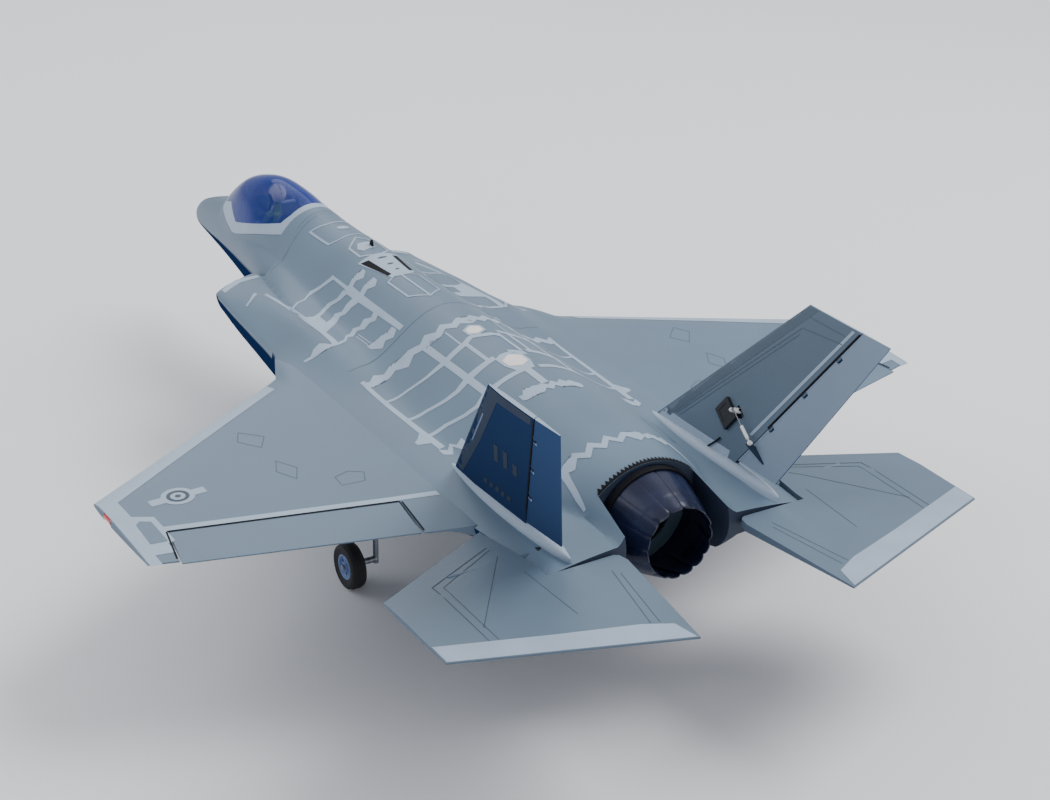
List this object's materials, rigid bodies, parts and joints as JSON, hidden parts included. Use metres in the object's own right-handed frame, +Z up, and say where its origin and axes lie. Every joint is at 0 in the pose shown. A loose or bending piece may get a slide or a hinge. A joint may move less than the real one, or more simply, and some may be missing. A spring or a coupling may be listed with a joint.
{
  "type": "rc jet plane",
  "caption": "Radio-controlled foam ducted-fan jet plane with twin canted fins, moving stabilators, retracting wheels and a lift-off canopy over a pilot figure.",
  "frame": {"origin": "ground under the middle of the bounding box, wheels down", "axes": "-Y toward the nose, +Y toward the tail, +X port side, +Z up"},
  "size_m": [0.7592, 1.0719, 0.3129],
  "materials": {
    "foam_body": "satin",
    "foam_wing": "satin",
    "foam_tail": "satin",
    "foam_light": "satin",
    "canopy_glass": "tinted gloss",
    "cockpit": "matt",
    "seat": "matt",
    "suit": "matt",
    "skin": "matt",
    "helmet": "gloss",
    "visor": "gloss",
    "lamp_red": "gloss",
    "lamp_green": "gloss",
    "servo_black": "matt",
    "arm_white": "satin",
    "rod_steel": "bright",
    "pin_steel": "bright",
    "lead_black": "matt",
    "duct": "satin",
    "fan_plastic": "gloss",
    "motor": "satin",
    "tube": "satin",
    "nozzle_black": "gloss",
    "battery": "shrink film",
    "controller": "matt",
    "antenna": "matt",
    "retract": "satin",
    "gear_metal": "satin",
    "tyre": "matt",
    "rim": "satin"
  },
  "bodies": {
    "airframe": {"nose_cone": "foam_body", "forward_fuselage": "foam_body", "centre_fuselage": "foam_body", "aft_fuselage": "foam_body", "cockpit_tub": "cockpit", "ejection_seat": "seat", "pilot_body": "suit", "pilot_head": "skin", "pilot_helmet": "helmet", "pilot_visor": "visor", "wing_left": "foam_wing", "wing_right": "foam_wing", "nav_light_left": "lamp_red", "nav_light_right": "lamp_green", "flaperon_servo_left": "servo_black", "flaperon_servo_right": "servo_black", "fin_left": "foam_tail", "fin_right": "foam_tail", "fin_fairing_left": "foam_light", "fin_fairing_right": "foam_light", "rudder_hinge_pins": "pin_steel", "rudder_servo_left": "servo_black", "rudder_servo_right": "servo_black", "servo_leads": "lead_black", "stab_servo_left": "servo_black", "stab_servo_right": "servo_black", "intake_duct": "duct", "fan_housing": "fan_plastic", "fan_motor": "motor", "thrust_tube": "tube", "nozzle": "nozzle_black", "battery": "battery", "speed_controller": "controller", "antenna": "antenna", "main_retract_left": "retract", "main_retract_right": "retract", "nose_retract": "retract"},
    "canopy": {"canopy_glass": "canopy_glass", "canopy_frame": "foam_light"},
    "fan": {"fan_rotor": "fan_plastic"},
    "nose_strut": {"nose_leg": "gear_metal"},
    "nose_steer": {"nose_fork": "gear_metal"},
    "nose_wheel": {"nose_tyre": "tyre", "nose_rim": "rim"},
    "flaperon_left": {"flaperon_left": "foam_wing"},
    "rudder_left": {"rudder_left": "foam_tail"},
    "stab_left": {"stab_left": "foam_tail"},
    "rudder_arm_left": {"servo_arm_left": "arm_white"},
    "rudder_rod_left": {"pushrod_left": "rod_steel"},
    "main_strut_left": {"main_leg_left": "gear_metal"},
    "main_wheel_left": {"main_tyre_left": "tyre", "main_rim_left": "rim"},
    "flaperon_right": {"flaperon_right": "foam_wing"},
    "rudder_right": {"rudder_right": "foam_tail"},
    "stab_right": {"stab_right": "foam_tail"},
    "rudder_arm_right": {"servo_arm_right": "arm_white"},
    "rudder_rod_right": {"pushrod_right": "rod_steel"},
    "main_strut_right": {"main_leg_right": "gear_metal"},
    "main_wheel_right": {"main_tyre_right": "tyre", "main_rim_right": "rim"}
  },
  "joints": [
    {"name": "canopy_lift", "type": "slide", "parent": "airframe", "child": "canopy", "axis": [0, 0, 1], "range_m": [0, 0.09]},
    {"name": "fan_spin", "type": "hinge", "parent": "airframe", "child": "fan", "pos_m": [0, 0.034, 0.155], "axis": [0, 1, 0], "continuous": true},
    {"name": "flaperon_left_hinge", "type": "hinge", "parent": "airframe", "child": "flaperon_left", "pos_m": [0.1647, 0.243, 0.158], "axis": [-0.9642, 0.2652, 0], "range_deg": [-25, 25]},
    {"name": "rudder_left_hinge", "type": "hinge", "parent": "airframe", "child": "rudder_left", "pos_m": [0.10953, 0.35798, 0.19251], "axis": [0.2845, 0.509, 0.8124], "range_deg": [-22, 22]},
    {"name": "rudder_arm_left_turn", "type": "hinge", "parent": "airframe", "child": "rudder_arm_left", "pos_m": [0.1137, 0.327, 0.21047], "axis": [0.2845, 0.509, 0.8124], "range_deg": [-22, 22]},
    {"name": "rudder_rod_left_turn", "type": "hinge", "parent": "rudder_arm_left", "child": "rudder_rod_left", "pos_m": [0.10521, 0.327, 0.21344], "axis": [0.2845, 0.509, 0.8124], "range_deg": [-22, 22]},
    {"name": "stab_left_pivot", "type": "hinge", "parent": "airframe", "child": "stab_left", "pos_m": [0.1, 0.37, 0.158], "axis": [1, 0, 0], "range_deg": [-15, 15]},
    {"name": "main_gear_left_retract", "type": "hinge", "parent": "airframe", "child": "main_strut_left", "pos_m": [0.112, 0.099, 0.13], "axis": [0.9078, 0.4195, 0], "range_deg": [0, 97]},
    {"name": "main_wheel_left_spin", "type": "hinge", "parent": "main_strut_left", "child": "main_wheel_left", "pos_m": [0.138, 0.099, 0.0215], "axis": [1, 0, 0], "continuous": true},
    {"name": "flaperon_right_hinge", "type": "hinge", "parent": "airframe", "child": "flaperon_right", "pos_m": [-0.1647, 0.243, 0.158], "axis": [-0.9642, -0.2652, 0], "range_deg": [-25, 25]},
    {"name": "rudder_right_hinge", "type": "hinge", "parent": "airframe", "child": "rudder_right", "pos_m": [-0.10953, 0.35798, 0.19251], "axis": [-0.2845, 0.509, 0.8124], "range_deg": [-22, 22]},
    {"name": "rudder_arm_right_turn", "type": "hinge", "parent": "airframe", "child": "rudder_arm_right", "pos_m": [-0.1137, 0.327, 0.21047], "axis": [-0.2845, 0.509, 0.8124], "range_deg": [-22, 22]},
    {"name": "rudder_rod_right_turn", "type": "hinge", "parent": "rudder_arm_right", "child": "rudder_rod_right", "pos_m": [-0.10521, 0.327, 0.21344], "axis": [-0.2845, 0.509, 0.8124], "range_deg": [-22, 22]},
    {"name": "stab_right_pivot", "type": "hinge", "parent": "airframe", "child": "stab_right", "pos_m": [-0.1, 0.37, 0.158], "axis": [1, 0, 0], "range_deg": [-15, 15]},
    {"name": "main_gear_right_retract", "type": "hinge", "parent": "airframe", "child": "main_strut_right", "pos_m": [-0.112, 0.099, 0.13], "axis": [0.9078, -0.4195, 0], "range_deg": [0, 97]},
    {"name": "main_wheel_right_spin", "type": "hinge", "parent": "main_strut_right", "child": "main_wheel_right", "pos_m": [-0.138, 0.099, 0.0215], "axis": [1, 0, 0], "continuous": true},
    {"name": "nose_gear_retract", "type": "hinge", "parent": "airframe", "child": "nose_strut", "pos_m": [0, -0.281, 0.112], "axis": [-1, 0, 0], "range_deg": [0, 98]},
    {"name": "nose_steering", "type": "hinge", "parent": "nose_strut", "child": "nose_steer", "pos_m": [0, -0.281, 0.054], "axis": [0, 0, 1], "range_deg": [-25, 25]},
    {"name": "nose_wheel_spin", "type": "hinge", "parent": "nose_steer", "child": "nose_wheel", "pos_m": [0, -0.281, 0.018], "axis": [1, 0, 0], "continuous": true}
  ],
  "couplings": [
    {"joint": "rudder_arm_left_turn", "follows": "rudder_left_hinge", "ratio": 1},
    {"joint": "rudder_rod_left_turn", "follows": "rudder_left_hinge", "ratio": -1},
    {"joint": "rudder_arm_right_turn", "follows": "rudder_right_hinge", "ratio": 1},
    {"joint": "rudder_rod_right_turn", "follows": "rudder_right_hinge", "ratio": -1}
  ]
}
